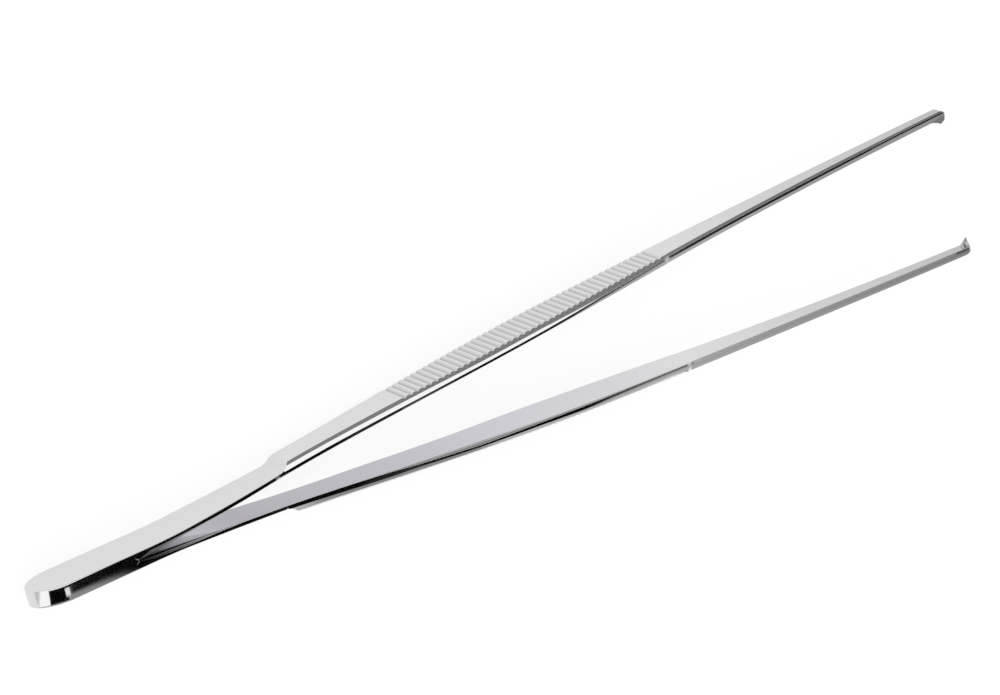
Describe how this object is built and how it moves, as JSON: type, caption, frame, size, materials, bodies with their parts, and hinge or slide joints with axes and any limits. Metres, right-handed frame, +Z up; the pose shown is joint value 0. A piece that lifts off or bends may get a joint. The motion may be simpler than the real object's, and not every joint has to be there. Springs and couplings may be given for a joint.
{
  "type": "thumb forceps",
  "caption": "Slender toothed thumb forceps: two bowed spring arms joined at a flat rounded butt, cross-grooved grip panels and fine toothed tips, lying on its side.",
  "frame": {"origin": "centre of the bounding box, on the table plane the forceps lies on", "axes": "+X from the butt to the tips, +Y towards the arm with the paired teeth, +Z up across the width of the arms"},
  "size_m": [0.25, 0.0362, 0.0112],
  "materials": {
    "steel": "polished stainless steel with a fine lengthwise grain"
  },
  "bodies": {
    "root": {"thumb_forceps": "steel"}
  },
  "joints": []
}
